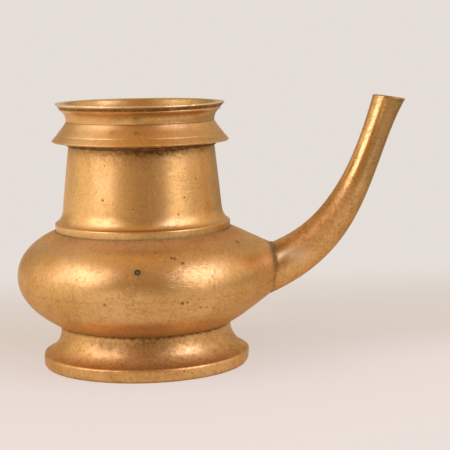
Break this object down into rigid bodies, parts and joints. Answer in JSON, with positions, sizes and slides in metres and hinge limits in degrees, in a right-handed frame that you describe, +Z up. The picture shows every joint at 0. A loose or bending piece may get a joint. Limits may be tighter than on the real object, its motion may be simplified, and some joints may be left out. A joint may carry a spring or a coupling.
{
  "type": "spouted water pot",
  "caption": "Squat brass water pot with a tapered neck, flaring collar and lip, a round hollow foot and one long curved spout, brazed from cast pieces.",
  "frame": {"origin": "on the floor, under the middle of the pot's bounding box, spout included; the pot's own upright axis is 39.9 mm towards -X", "axes": "+Z up along the pot's axis, +X towards the spout, +Y away from the viewer of the front"},
  "size_m": [0.225, 0.1452, 0.1506],
  "materials": {
    "neck_brass": "old cast brass, turned and worn to a satin shine, faint scratches and brown stain",
    "bowl_brass": "old cast brass, worn satin, pitted, with a darker brown stain low down",
    "spout_brass": "old cast brass, worn satin with brown stain on its lower side",
    "braze": "dull, rough brazing metal darkened with dirt and verdigris",
    "plug_metal": "dull dark metal with a green edge"
  },
  "bodies": {
    "root": {"mouth_rim": "neck_brass", "drip_collar": "neck_brass", "neck": "neck_brass", "upper_bowl": "bowl_brass", "lower_bowl": "bowl_brass", "foot": "bowl_brass", "spout": "spout_brass", "core_pin_plug": "plug_metal", "collar_solder": "braze", "neck_solder": "braze", "bowl_solder": "braze", "foot_solder": "braze", "spout_solder": "braze"}
  },
  "joints": []
}
